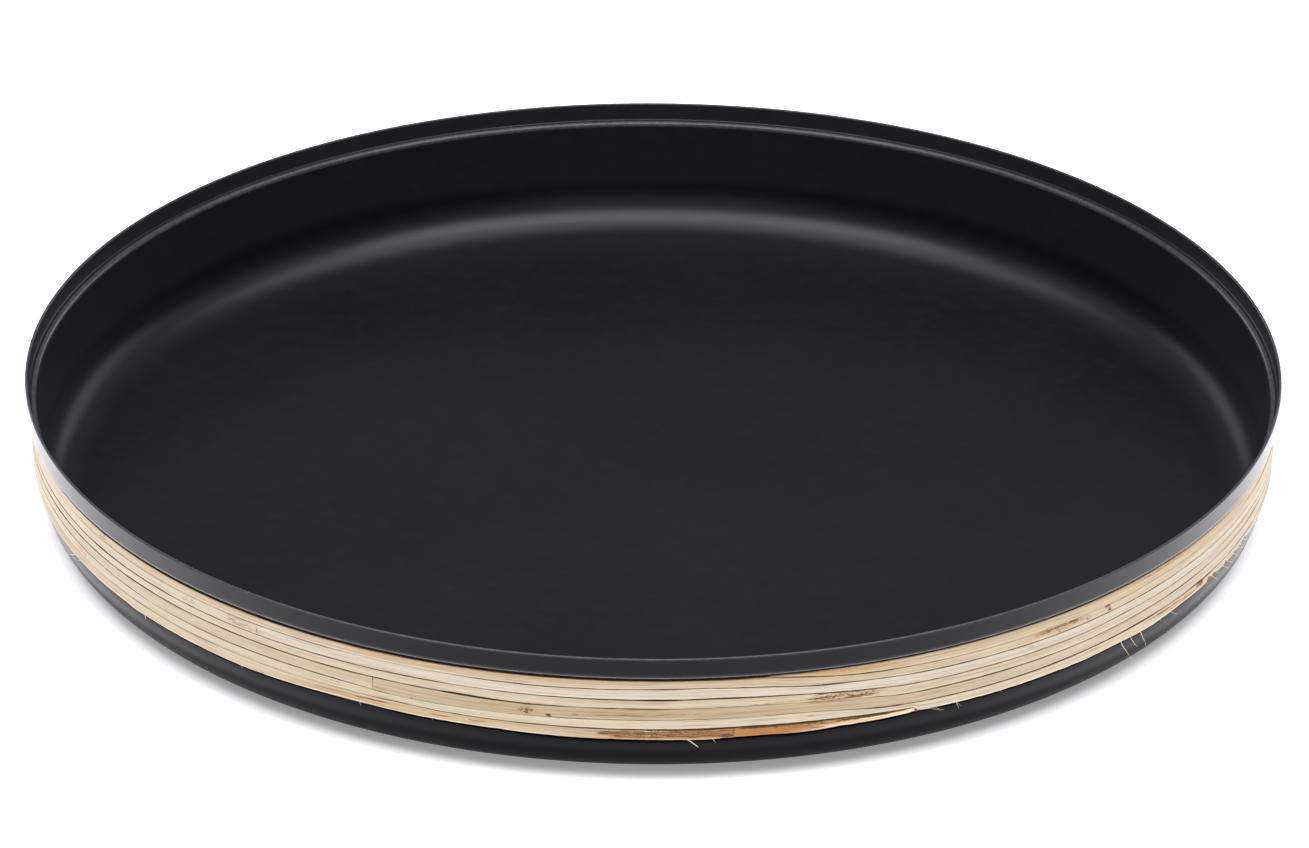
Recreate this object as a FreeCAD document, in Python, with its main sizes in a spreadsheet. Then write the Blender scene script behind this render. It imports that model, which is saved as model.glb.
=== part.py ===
"""Round serving tray: a pressed sheet-steel pan with a joggled rim, and a band of split bamboo wound round its wall.

Frame: +Z up, origin at the centre of the underside, -Y is the front. Millimetres and degrees.

The pan is one pressing. Its wall rises from a wide cove with a slight draft, steps outwards in a narrow
ledge, and ends in a short upright lip. The recess below the lip holds the band: six courses of flat bamboo
strip, butted end to end, which run level nearly all the way round and step down by one course in a short
jog at the right of the front. The winding starts as a wedge under the lip and ends as a wedge at the foot
of the band. An adhesive film holds the strips to the wall.
"""

import FreeCAD
import Part
import Sketcher
import os

from FreeCAD import Placement, Rotation, Vector

os.makedirs("parts", exist_ok=True)
doc = FreeCAD.newDocument("serving_tray")

# ---------------------------------------------------------------- driving dimensions
sheet = doc.addObject("Spreadsheet::Sheet", "Sizes")
CELLS = [
    ("rim_radius", 210.0, "outside of the lip"),
    ("rim_height", 45.5, "underside of the floor to the top of the lip"),
    ("steel_thickness", 1.0, "sheet steel with its powder coat"),
    ("lip_height", 7.3, "top of the lip to the underside of the ledge"),
    ("ledge_width", 2.6, "step from the wall out to the lip"),
    ("wall_slope", 0.0437, "draft of the wall, mm inwards per mm down"),
    ("cove_radius", 14.3, "inside of the cove between floor and wall"),
    ("bend_radius", 0.5, "inside of the two bends of the ledge"),
    ("edge_radius", 0.42, "both corners of the lip's top edge"),
    ("film_thickness", 0.25, "adhesive between wall and strips"),
    ("film_height", 21.2, "width of the adhesive film, up the wall"),
    ("film_foot", 16.3, "height of the film's lower edge"),
    ("strip_thickness", 0.95, "bamboo strip, radially"),
    ("strip_width", 3.5, "bamboo strip, up the wall"),
    ("course_pitch", 3.7, "one course to the next"),
    ("band_top", 38.05, "top edge of the first course, just under the ledge"),
    ("jog_place", 280.0, "angle where the courses begin to step down"),
    ("jog_sweep", 13.0, "angle that the step takes"),
    ("butt_gap", 0.08, "angle left open between two butted ends"),
]
# Ends of the strips, as degrees along the whole winding, counted from the jog.
ENDS = [0.0, 212.0, 455.0, 673.5, 905.0, 1170.0, 1405.1, 1595.0, 1849.5, 2157.1, 2173.0]
for i, angle in enumerate(ENDS):
    CELLS.append(("strip_end_%02d" % i, angle, "place along the winding"))


class Size:
    """A number together with the spreadsheet expression that gives it."""

    def __init__(self, value, text):
        self.value = float(value)
        self.text = text

    def _with(self, other, sign, value):
        text = other.text if isinstance(other, Size) else repr(float(other))
        return Size(value, "(%s %s %s)" % (self.text, sign, text))

    def __add__(self, other):
        return self._with(other, "+", self.value + number(other))

    def __sub__(self, other):
        return self._with(other, "-", self.value - number(other))

    def __mul__(self, other):
        return self._with(other, "*", self.value * number(other))


def number(x):
    return x.value if isinstance(x, Size) else float(x)


S = {}
for row, (alias, value, note) in enumerate(CELLS, start=1):
    sheet.set("A%d" % row, note)
    sheet.set("B%d" % row, str(value))
    sheet.setAlias("B%d" % row, alias)
    S[alias] = Size(value, "Sizes." + alias)
doc.recompute()
ZERO = Size(0.0, "0")


# ---------------------------------------------------------------- helpers
def new_body(label):
    body = doc.addObject("PartDesign::Body", label)
    body.Label = label
    return body


def base_plane(body, role):
    return [f for f in body.Origin.OriginFeatures if f.Role == role][0]


def section(body, name, corners, turn=0.0):
    """A closed polygon in the vertical plane at `turn` degrees about Z, each corner placed by its radius and height."""
    sketch = body.newObject("Sketcher::SketchObject", name)
    sketch.AttachmentSupport = (base_plane(body, "XZ_Plane"), [""])
    sketch.MapMode = "FlatFace"
    sketch.AttachmentOffset = Placement(Vector(0, 0, 0), Rotation(Vector(0, 1, 0), turn))
    points = [Vector(r.value, z.value, 0) for r, z in corners]
    count = len(points)
    for i in range(count):
        sketch.addGeometry(Part.LineSegment(points[i], points[(i + 1) % count]), False)
    for i in range(count):
        sketch.addConstraint(Sketcher.Constraint("Coincident", i, 2, (i + 1) % count, 1))
    for i, (r, z) in enumerate(corners):
        if abs(r.value) < 1e-9:
            sketch.addConstraint(Sketcher.Constraint("PointOnObject", i, 1, -2))
        else:
            k = sketch.addConstraint(Sketcher.Constraint("DistanceX", -1, 1, i, 1, r.value))
            sketch.setExpression("Constraints[%d]" % k, r.text)
        if abs(z.value) < 1e-9:
            sketch.addConstraint(Sketcher.Constraint("PointOnObject", i, 1, -1))
        else:
            k = sketch.addConstraint(Sketcher.Constraint("DistanceY", -1, 1, i, 1, z.value))
            sketch.setExpression("Constraints[%d]" % k, z.text)
    doc.recompute()
    return sketch


def revolve(body, name, sketch, angle, backwards=False):
    """Turns a section about the vertical axis. A positive turn runs anticlockwise seen from above."""
    feature = body.newObject("PartDesign::Revolution", name)
    feature.Profile = sketch
    feature.ReferenceAxis = (sketch, ["V_Axis"])
    feature.Angle = min(360.0, angle.value)
    if angle.text != "360":
        feature.setExpression("Angle", angle.text)
    feature.Reversed = backwards
    sketch.Visibility = False
    doc.recompute()
    return feature


def ring_edges(shape, places):
    """Names of the circular edges that pass through the given (radius, height) places."""
    names = []
    for i, edge in enumerate(shape.Edges, start=1):
        if not isinstance(edge.Curve, Part.Circle):
            continue
        for radius, height in places:
            if abs(edge.Curve.Radius - radius) < 0.02 and abs(edge.Curve.Center.z - height) < 0.02:
                names.append("Edge%d" % i)
    return names


def fillet(body, name, base, places, radius):
    feature = body.newObject("PartDesign::Fillet", name)
    edges = ring_edges(base.Shape, places)
    if len(edges) != len(places):
        raise RuntimeError("%s found %d edges, not %d" % (name, len(edges), len(places)))
    feature.Base = (base, edges)
    feature.Radius = radius.value
    feature.setExpression("Radius", radius.text)
    doc.recompute()
    return feature


# ---------------------------------------------------------------- pan
R, H, T = S["rim_radius"], S["rim_height"], S["steel_thickness"]
ledge_z = H - S["lip_height"]  # underside of the ledge
wall_top_r = R - S["ledge_width"]  # outside of the wall, just under the ledge


def wall_r(z):
    """Outside radius of the tapered wall at a height."""
    return wall_top_r - (ledge_z - z) * S["wall_slope"]


pan = new_body("pan")
outside_foot = wall_r(ZERO)
inside_top = wall_r(ledge_z + T) - T
inside_foot = wall_r(T) - T
profile = section(
    pan,
    "PanProfile",
    [
        (ZERO, ZERO),
        (outside_foot, ZERO),
        (wall_top_r, ledge_z),
        (R, ledge_z),
        (R, H),
        (R - T, H),
        (R - T, ledge_z + T),
        (inside_top, ledge_z + T),
        (inside_foot, T),
        (ZERO, T),
    ],
)
pan_solid = revolve(pan, "PanShell", profile, Size(360, "360"))
outer_cove = fillet(pan, "OuterCove", pan_solid, [(outside_foot.value, 0.0)], S["cove_radius"] + T)
inner_cove = fillet(pan, "InnerCove", outer_cove, [(inside_foot.value, T.value)], S["cove_radius"])
tight = fillet(
    pan,
    "LedgeInnerBends",
    inner_cove,
    [(wall_top_r.value, ledge_z.value), ((R - T).value, (ledge_z + T).value)],
    S["bend_radius"],
)
wide = fillet(
    pan,
    "LedgeOuterBends",
    tight,
    [(R.value, ledge_z.value), (inside_top.value, (ledge_z + T).value)],
    S["bend_radius"] + T,
)
fillet(pan, "LipEdge", wide, [(R.value, H.value), ((R - T).value, H.value)], S["edge_radius"])


# ---------------------------------------------------------------- adhesive film
film = new_body("adhesive_film")
film_low = S["film_foot"]
film_high = film_low + S["film_height"]
film_profile = section(
    film,
    "FilmProfile",
    [
        (wall_r(film_low) + 0.01, film_low),
        (wall_r(film_low) + S["film_thickness"] - 0.02, film_low),
        (wall_r(film_high) + S["film_thickness"] - 0.02, film_high),
        (wall_r(film_high) + 0.01, film_high),
    ],
)
revolve(film, "Film", film_profile, Size(360, "360"))


# ---------------------------------------------------------------- bamboo strips
def strip_section(body, name, top, bottom, turn):
    """A strip's cross-section, lying on the film along the tapered wall."""
    inner = lambda z: wall_r(z) + S["film_thickness"]
    outer = lambda z: wall_r(z) + S["film_thickness"] + S["strip_thickness"]
    return section(
        body,
        name,
        [(inner(bottom), bottom), (outer(bottom), bottom), (outer(top), top), (inner(top), top)],
        turn,
    )


def course_top(course, share=0.0):
    """Top edge of a course, `share` of the way down to the next one."""
    return S["band_top"] - S["course_pitch"] * (course - 1 + share)


# The jog is an S-curve: places along it, and how far down each has come.
JOG = [(0.0, 0.0), (0.25, 0.15625), (0.5, 0.5), (0.75, 0.84375), (1.0, 1.0)]
GAP = S["course_pitch"] - S["strip_width"]


def loft(body, name, sections):
    feature = body.newObject("PartDesign::AdditiveLoft", name)
    feature.Profile = (sections[0], [""])
    feature.Sections = [(s, [""]) for s in sections[1:]]
    feature.Ruled = False
    for s in sections:
        s.Visibility = False
    doc.recompute()
    return feature


strips = []
for n in range(1, len(ENDS)):
    label = "bamboo_strip_%02d" % n
    body = new_body(label)
    strips.append(body)
    start, end = S["strip_end_%02d" % (n - 1)], S["strip_end_%02d" % n]
    half_gap = S["butt_gap"] * 0.5
    course = int(start.value // 360) + 1  # course that the strip starts in
    jog_at = 360.0 * course  # where that course steps down
    sweep = S["jog_sweep"]
    if n == 1:
        # Starts as a wedge between the ledge and the course that steps down below it.
        wedge = []
        for along, down in JOG[1:]:
            top = course_top(1)
            bottom = course_top(1, down) + GAP
            wedge.append(strip_section(body, "Wedge%d" % len(wedge), top, bottom, sweep.value * along))
        loft(body, "Start", wedge)
        flat = strip_section(body, "Course", course_top(1), course_top(1) - S["strip_width"], sweep.value)
        revolve(body, "Level", flat, end - sweep - half_gap)
        body.Placement = Placement(Vector(0, 0, 0), Rotation(Vector(0, 0, 1), S["jog_place"].value))
    elif n == len(ENDS) - 1:
        # Ends as a wedge below the last course that steps down.
        flat = strip_section(body, "Course", course_top(6), course_top(6) - S["strip_width"], 0.0)
        revolve(body, "Level", flat, Size(jog_at, repr(jog_at)) - start - half_gap, backwards=True)
        wedge = []
        for along, down in JOG[:-1]:
            top = course_top(6, down)
            bottom = course_top(6) - S["strip_width"]
            wedge.append(strip_section(body, "Wedge%d" % len(wedge), top, bottom, sweep.value * along))
        loft(body, "Tail", wedge)
        body.Placement = Placement(Vector(0, 0, 0), Rotation(Vector(0, 0, 1), S["jog_place"].value))
    elif end.value > jog_at:
        # Runs level, steps down through the jog, and runs on one course lower.
        top = course_top(course)
        before = strip_section(body, "Before", top, top - S["strip_width"], 0.0)
        revolve(body, "LevelBefore", before, Size(jog_at, repr(jog_at)) - start - half_gap, backwards=True)
        path = []
        for along, down in JOG:
            top = course_top(course, down)
            path.append(strip_section(body, "Jog%d" % len(path), top, top - S["strip_width"], sweep.value * along))
        loft(body, "StepDown", path)
        top = course_top(course + 1)
        after = strip_section(body, "After", top, top - S["strip_width"], sweep.value)
        revolve(body, "LevelAfter", after, end - (jog_at + sweep.value) - half_gap)
        body.Placement = Placement(Vector(0, 0, 0), Rotation(Vector(0, 0, 1), S["jog_place"].value))
    else:
        flat = strip_section(body, "Course", course_top(course), course_top(course) - S["strip_width"], 0.0)
        revolve(body, "Level", flat, end - start - S["butt_gap"])
        turn = (S["jog_place"].value + start.value + half_gap.value) % 360.0
        body.Placement = Placement(Vector(0, 0, 0), Rotation(Vector(0, 0, 1), turn))
doc.recompute()


# ---------------------------------------------------------------- checks and export
failed = []
for obj in doc.Objects:
    if any(word in obj.State for word in ("Invalid", "Error")):
        failed.append("%s (%s)" % (obj.Name, obj.Label))
if failed:
    raise RuntimeError("not built: " + ", ".join(failed))
for old in os.listdir("parts"):
    if old.endswith(".step"):
        os.remove(os.path.join("parts", old))
for body in [pan, film] + strips:
    shape = body.Shape
    if shape.isNull() or not shape.isValid() or len(shape.Solids) != 1:
        raise RuntimeError("%s: null, not valid, or %d solids" % (body.Label, len(shape.Solids)))
    box = shape.BoundBox
    print("%-16s %9.1f mm3   z %.2f to %.2f   solids %d" % (body.Label, shape.Volume, box.ZMin, box.ZMax, len(shape.Solids)))
    shape.exportStep(os.path.join("parts", body.Label + ".step"))
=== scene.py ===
"""Looks of the round serving tray: powder-coated pan, wound split-bamboo band, glue, loose fibres, floor, light and camera."""

import math

import bpy
import numpy as np
from mathutils import Matrix, Vector


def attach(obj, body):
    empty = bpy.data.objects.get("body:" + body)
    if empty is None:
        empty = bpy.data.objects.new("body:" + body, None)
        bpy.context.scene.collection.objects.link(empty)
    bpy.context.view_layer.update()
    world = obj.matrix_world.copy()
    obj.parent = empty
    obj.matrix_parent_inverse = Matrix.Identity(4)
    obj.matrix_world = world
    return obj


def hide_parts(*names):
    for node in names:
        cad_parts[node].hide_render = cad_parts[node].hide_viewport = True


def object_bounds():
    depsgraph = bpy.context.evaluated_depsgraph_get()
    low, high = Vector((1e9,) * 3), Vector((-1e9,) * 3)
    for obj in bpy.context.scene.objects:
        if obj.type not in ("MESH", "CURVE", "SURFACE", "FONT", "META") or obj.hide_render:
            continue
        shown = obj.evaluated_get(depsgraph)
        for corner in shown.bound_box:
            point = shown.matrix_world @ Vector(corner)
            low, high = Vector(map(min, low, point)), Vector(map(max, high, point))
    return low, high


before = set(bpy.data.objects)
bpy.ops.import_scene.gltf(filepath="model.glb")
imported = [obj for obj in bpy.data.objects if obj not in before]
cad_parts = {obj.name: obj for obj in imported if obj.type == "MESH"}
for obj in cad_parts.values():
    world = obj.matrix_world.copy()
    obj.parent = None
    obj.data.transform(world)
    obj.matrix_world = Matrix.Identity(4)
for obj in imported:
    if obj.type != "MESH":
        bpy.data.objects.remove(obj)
cad_lo, cad_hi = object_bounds()
scene = bpy.context.scene

# ------------------------------------------------------------------ sizes, in mm, of the tray's section
RIM_R = 1000.0 * cad_hi.x
RIM_H = 1000.0 * cad_hi.z
STEEL = 1.0
LIP = 7.3
LEDGE = 2.6
SLOPE = 0.0437
COVE = 14.3
BEND = 0.5
EDGE = 0.42
FILM = 0.25
LEDGE_Z = RIM_H - LIP
WALL_0 = (RIM_R - LEDGE) - LEDGE_Z * SLOPE
LEAN = math.degrees(math.atan(SLOPE))
LEAN_K = math.hypot(1.0, SLOPE)


def wall_r(z):
    """Outside radius of the wall at height z."""
    return WALL_0 + SLOPE * z


# ------------------------------------------------------------------ small maths
def hashed(n, seed):
    """A repeatable number from -1 to 1 for each whole number in n."""
    n = np.asarray(n, dtype=np.int64).astype(np.uint64)
    x = (n * np.uint64(0x9E3779B97F4A7C15) + np.uint64(seed * 2654435761 + 12345)) & np.uint64(0xFFFFFFFFFFFFFFFF)
    x ^= x >> np.uint64(30)
    x = (x * np.uint64(0xBF58476D1CE4E5B9)) & np.uint64(0xFFFFFFFFFFFFFFFF)
    x ^= x >> np.uint64(27)
    x = (x * np.uint64(0x94D049BB133111EB)) & np.uint64(0xFFFFFFFFFFFFFFFF)
    x ^= x >> np.uint64(31)
    return (x >> np.uint64(11)).astype(np.float64) / float(1 << 53) * 2.0 - 1.0


def wave(x, seed):
    """Smooth 1-D value noise from -1 to 1."""
    x = np.asarray(x, float)
    i = np.floor(x)
    f = x - i
    u = f * f * (3.0 - 2.0 * f)
    i = i.astype(np.int64) + 100000
    return hashed(i, seed) * (1 - u) + hashed(i + 1, seed) * u


def smooth(e0, e1, x):
    t = np.clip((np.asarray(x, float) - e0) / (e1 - e0), 0.0, 1.0)
    return t * t * (3.0 - 2.0 * t)


def pchip(xk, yk, x):
    """Monotone cubic through the given knots."""
    xk, yk, x = np.asarray(xk, float), np.asarray(yk, float), np.asarray(x, float)
    h = np.diff(xk)
    d = np.diff(yk) / h
    m = np.zeros(len(xk))
    for i in range(1, len(xk) - 1):
        if d[i - 1] * d[i] > 0:
            w1, w2 = 2 * h[i] + h[i - 1], h[i] + 2 * h[i - 1]
            m[i] = (w1 + w2) / (w1 / d[i - 1] + w2 / d[i])
    m[0], m[-1] = d[0], d[-1]
    k = np.clip(np.searchsorted(xk, x, side="right") - 1, 0, len(h) - 1)
    t = (x - xk[k]) / h[k]
    h00, h10 = (1 + 2 * t) * (1 - t) ** 2, t * (1 - t) ** 2
    h01, h11 = t * t * (3 - 2 * t), t * t * (t - 1)
    return h00 * yk[k] + h10 * h[k] * m[k] + h01 * yk[k + 1] + h11 * h[k] * m[k + 1]


def srgb(r, g, b):
    """Linear colour of an sRGB triple given from 0 to 255."""
    c = np.array([r, g, b], float) / 255.0
    return tuple(np.where(c <= 0.04045, c / 12.92, ((c + 0.055) / 1.055) ** 2.4))


# ------------------------------------------------------------------ mesh helpers
def new_mesh(name, verts, faces, smooth_faces=True):
    me = bpy.data.meshes.new(name)
    me.from_pydata([tuple(v) for v in verts], [], [tuple(f) for f in faces])
    me.update()
    me.shade_smooth() if smooth_faces else me.shade_flat()
    ob = bpy.data.objects.new(name, me)
    scene.collection.objects.link(ob)
    return ob


def attr_float(ob, name, values):
    a = ob.data.attributes.new(name, "FLOAT", "POINT")
    a.data.foreach_set("value", np.asarray(values, np.float32).ravel())


def attr_vector(ob, name, values):
    a = ob.data.attributes.new(name, "FLOAT_VECTOR", "POINT")
    a.data.foreach_set("vector", np.asarray(values, np.float32).ravel())


def attr_color(ob, name, values):
    v = np.asarray(values, np.float32)
    if v.shape[1] == 3:
        v = np.concatenate([v, np.ones((len(v), 1), np.float32)], 1)
    a = ob.data.attributes.new(name, "FLOAT_COLOR", "POINT")
    a.data.foreach_set("color", v.ravel())


# ------------------------------------------------------------------ node helpers
class Nodes:
    """Short calls for building a material's node tree."""

    def __init__(self, name):
        self.mat = bpy.data.materials.new(name)
        self.mat.use_nodes = True
        self.nt = self.mat.node_tree
        self.nt.nodes.clear()

    def put(self, node, key, value):
        sock = node.inputs[key]
        if isinstance(value, bpy.types.NodeSocket):
            self.nt.links.new(value, sock)
        elif hasattr(sock.default_value, "__len__") and not hasattr(value, "__len__"):
            sock.default_value = [value] * len(sock.default_value)
        elif hasattr(sock.default_value, "__len__"):
            v = list(value)
            if len(sock.default_value) == 4 and len(v) == 3:
                v.append(1.0)
            sock.default_value = v
        else:
            sock.default_value = value

    def node(self, kind, inputs=None, **props):
        n = self.nt.nodes.new(kind)
        for k, v in props.items():
            setattr(n, k, v)
        for k, v in (inputs or {}).items():
            self.put(n, k, v)
        return n

    def math(self, op, a, b=0.0, c=None, clamp=False):
        n = self.node("ShaderNodeMath", operation=op, use_clamp=clamp)
        self.put(n, 0, a)
        if op not in ("ABSOLUTE", "SQRT", "FLOOR", "FRACT", "SINE", "COSINE"):
            self.put(n, 1, b)
        if c is not None:
            self.put(n, 2, c)
        return n.outputs[0]

    def mul(self, a, b):
        return self.math("MULTIPLY", a, b)

    def add(self, a, b):
        return self.math("ADD", a, b)

    def step(self, x, lo, hi, a=0.0, b=1.0, kind="SMOOTHSTEP"):
        n = self.node("ShaderNodeMapRange", {"Value": x, "From Min": lo, "From Max": hi, "To Min": a, "To Max": b}, interpolation_type=kind)
        return n.outputs[0]

    def xyz(self, x, y, z):
        return self.node("ShaderNodeCombineXYZ", {0: x, 1: y, 2: z}).outputs[0]

    def split(self, v):
        n = self.node("ShaderNodeSeparateXYZ", {0: v})
        return n.outputs[0], n.outputs[1], n.outputs[2]

    def noise(self, vec, scale=1.0, detail=2.0, rough=0.5, distortion=0.0):
        n = self.node("ShaderNodeTexNoise", {"Vector": vec, "Scale": scale, "Detail": detail, "Roughness": rough, "Distortion": distortion})
        return n.outputs[0]

    def mix(self, fac, a, b, mode="MIX"):
        n = self.node("ShaderNodeMix", data_type="RGBA", blend_type=mode, clamp_factor=True)
        self.put(n, 0, fac)
        self.put(n, 6, a)
        self.put(n, 7, b)
        return n.outputs[2]

    def attr(self, name):
        return self.node("ShaderNodeAttribute", attribute_name=name, attribute_type="GEOMETRY")

    def bump(self, height, distance, strength=1.0, normal=None):
        n = self.node("ShaderNodeBump", {"Height": height, "Distance": distance, "Strength": strength})
        if normal is not None:
            self.put(n, "Normal", normal)
        return n.outputs[0]

    def shader(self, **inputs):
        n = self.node("ShaderNodeBsdfPrincipled")
        for k, v in inputs.items():
            self.put(n, k.replace("_", " "), v)
        out = self.node("ShaderNodeOutputMaterial")
        self.nt.links.new(n.outputs[0], out.inputs["Surface"])
        return self.mat


# ------------------------------------------------------------------ materials
def powder_coat(name, specular, smoother, sheen_too):
    m = Nodes(name)
    pos = m.node("ShaderNodeTexCoord").outputs["Object"]
    wear = m.attr("wear").outputs["Fac"]
    cloud = m.noise(pos, 9.0, 3.0, 0.55)
    mottle = m.noise(pos, 160.0, 3.0, 0.6)
    peel = m.noise(pos, 620.0, 2.0, 0.5)
    grain = m.noise(pos, 2300.0, 2.0, 0.6)
    fleck = m.noise(pos, 3400.0, 1.0, 0.5)
    base = m.mix(m.step(cloud, 0.3, 0.7), (0.0033, 0.0031, 0.0046), (0.0043, 0.0041, 0.0058))
    base = m.mix(m.mul(m.step(mottle, 0.45, 0.8), 0.5), base, (0.0056, 0.0054, 0.0072))
    base = m.mix(m.mul(m.step(fleck, 0.72, 0.8), 0.35), base, (0.022, 0.022, 0.025))
    # Painted light: the inside of the wall and the lip get a lighter base colour, standing in for reflected light.
    painted_wall_light_mix = m.mul(m.attr("dust").outputs["Fac"], m.step(mottle, 0.2, 0.8, 0.75, 1.0))
    base = m.mix(painted_wall_light_mix, base, (0.0200, 0.0197, 0.0240))
    # Rubbed edges on the rim and the ledge bend: a lighter base colour, partly real wear and partly a painted
    # highlight; they are also smoother.
    rubbed_and_highlit = m.mul(wear, m.step(m.noise(pos, 420.0, 4.0, 0.65), 0.25, 0.80, 0.35, 0.85))
    base = m.mix(m.mul(rubbed_and_highlit, 0.75), base, (0.060, 0.060, 0.066))
    rough = m.add(m.step(mottle, 0.25, 0.75, 0.37, 0.40), m.step(cloud, 0.3, 0.7, -0.012, 0.012))
    rough = m.math("SUBTRACT", rough, m.add(m.mul(wear, 0.12), smoother), clamp=True)
    # Painted shade: a dark, dull line right under the band, where the band's shadow falls.
    foot = m.attr("foot").outputs["Fac"]
    base = m.mix(m.mul(foot, 0.85), base, (0.0012, 0.0011, 0.0014))
    rough = m.add(rough, m.mul(foot, 0.55))
    height = m.add(m.mul(peel, 0.75), m.mul(grain, 0.25))
    return m.shader(Base_Color=base, Roughness=rough, Specular_IOR_Level=specular, Sheen_Roughness=0.42,
                    Sheen_Weight=m.attr("sheen").outputs["Fac"] if sheen_too else 0.0, Normal=m.bump(height, 0.00005, 0.45))


def bamboo():
    """Raw split bamboo. The strip attribute holds the place along the winding, across the strip and a number for each strip."""
    m = Nodes("split_bamboo")
    u, v, w = m.split(m.attr("strip").outputs["Vector"])
    tint = m.attr("tint").outputs["Color"]
    marks = m.attr("marks").outputs["Color"]
    edge = m.attr("edge").outputs["Fac"]
    sep = m.node("ShaderNodeSeparateColor", {0: marks})
    stain, gold, scribble = sep.outputs[0], sep.outputs[1], sep.outputs[2]
    fine = m.noise(m.xyz(m.mul(u, 34.0), m.mul(v, 7600.0), m.mul(w, 13.7)), 1.0, 3.0, 0.6)
    band = m.noise(m.xyz(m.mul(u, 8.0), m.mul(v, 1500.0), m.add(m.mul(w, 7.1), 5.0)), 1.0, 4.0, 0.6)
    dash = m.noise(m.xyz(m.mul(u, 42.0), m.mul(v, 4200.0), m.add(m.mul(w, 3.3), 9.0)), 1.0, 2.0, 0.5)
    blot = m.noise(m.xyz(m.mul(u, 16.0), m.mul(v, 240.0), m.add(m.mul(w, 5.9), 2.0)), 1.0, 3.0, 0.55)
    speck = m.noise(m.xyz(m.mul(u, 1300.0), m.mul(v, 2100.0), m.mul(w, 2.0)), 1.0, 3.0, 0.6)
    long_speck = m.noise(m.xyz(m.mul(u, 260.0), m.mul(v, 3000.0), m.mul(w, 4.0)), 1.0, 3.0, 0.6)
    mid = m.noise(m.xyz(m.mul(u, 15.0), m.mul(v, 2700.0), m.add(m.mul(w, 9.3), 7.0)), 1.0, 3.0, 0.6)
    # Cream ground, with tan streaks and paler fibres.
    col = m.mix(m.mul(m.step(band, 0.42, 0.70), 0.58), tint, (0.80, 0.69, 0.54), "MULTIPLY")
    col = m.mix(m.mul(m.step(mid, 0.50, 0.68), 0.62), col, (0.78, 0.67, 0.52), "MULTIPLY")
    col = m.mix(m.mul(m.step(mid, 0.46, 0.30), 0.55), col, (1.10, 1.12, 1.14), "MULTIPLY")
    col = m.mix(m.mul(m.step(blot, 0.48, 0.78), 0.55), col, (0.91, 0.83, 0.71), "MULTIPLY")
    col = m.mix(m.mul(m.step(blot, 0.46, 0.22), 0.35), col, (0.97, 1.0, 0.93), "MULTIPLY")
    col = m.mix(m.mul(m.step(fine, 0.50, 0.30), 0.55), col, (0.76, 0.65, 0.50), "MULTIPLY")
    col = m.mix(m.mul(m.step(fine, 0.56, 0.74), 0.30), col, (0.72, 0.67, 0.57))
    thin = m.mul(m.step(dash, 0.575, 0.65), m.step(blot, 0.30, 0.70, 0.25, 0.85))
    col = m.mix(thin, col, (0.21, 0.115, 0.047))
    # Golden and orange skin, brown stains with ragged ends and darker fibres, and the short dashes at the nodes.
    col = m.mix(m.mul(gold, m.step(band, 0.2, 0.75, 0.55, 1.0)), col, (0.95, 0.72, 0.44), "MULTIPLY")
    ragged = m.add(stain, m.mul(m.math("SUBTRACT", long_speck, 0.5), 1.1))
    dark = m.mul(m.step(ragged, 0.25, 0.52), m.step(stain, 0.0, 0.12))
    ground = m.mix(m.step(m.add(m.mul(band, 0.5), m.mul(mid, 0.5)), 0.40, 0.60), (0.33, 0.150, 0.040), (0.160, 0.066, 0.016))
    col = m.mix(m.mul(dark, 0.90), col, ground)
    streak = m.mul(m.step(m.add(m.mul(long_speck, 0.6), m.mul(mid, 0.4)), 0.49, 0.58), m.step(m.add(ragged, m.mul(blot, 0.3)), 0.55, 0.85))
    col = m.mix(m.mul(streak, 0.90), col, (0.046, 0.018, 0.006))
    burnt = m.step(m.add(stain, m.mul(m.math("SUBTRACT", long_speck, 0.5), 2.6)), 1.20, 1.55)
    col = m.mix(m.mul(burnt, 0.92), col, (0.036, 0.015, 0.006))
    hatch = m.mul(scribble, m.step(m.add(m.mul(speck, 0.6), m.mul(long_speck, 0.4)), 0.49, 0.56))
    col = m.mix(m.mul(hatch, 0.92), col, (0.092, 0.039, 0.013))
    # Along a joint the split edge is browner, and its side is dark with glue. The edge value is 1 where that ends.
    broken = m.noise(m.xyz(m.mul(u, 55.0), m.mul(v, 300.0), m.mul(w, 8.0)), 1.0, 3.0, 0.6)
    rim = m.mul(m.step(edge, 1.0, 0.1), m.step(broken, 0.30, 0.62, 0.35, 1.0))
    col = m.mix(m.mul(rim, 0.88), col, (0.140, 0.062, 0.020))
    col = m.mix(m.step(edge, -0.05, -0.6), col, (0.030, 0.014, 0.006))
    rough = m.add(m.step(fine, 0.25, 0.75, 0.50, 0.66), m.mul(dark, 0.06))
    height = m.add(m.mul(fine, 0.55), m.mul(band, 0.30))
    height = m.math("SUBTRACT", height, m.mul(thin, 0.35))
    height = m.add(height, m.mul(hatch, -0.6))
    return m.shader(Base_Color=col, Roughness=rough, Specular_IOR_Level=0.24, Sheen_Weight=0.17, Sheen_Roughness=0.42, Normal=m.bump(height, 0.00009, 0.75))


def glue():
    m = Nodes("amber_glue")
    pos = m.node("ShaderNodeTexCoord").outputs["Object"]
    blob = m.noise(pos, 260.0, 3.0, 0.6)
    fine = m.noise(pos, 1500.0, 2.0, 0.5)
    col = m.mix(m.step(blob, 0.35, 0.7), (0.050, 0.022, 0.008), (0.150, 0.075, 0.026))
    rough = m.step(fine, 0.3, 0.7, 0.28, 0.52)
    return m.shader(Base_Color=col, Roughness=rough, Specular_IOR_Level=0.5, Normal=m.bump(blob, 0.00008, 0.6))


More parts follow.
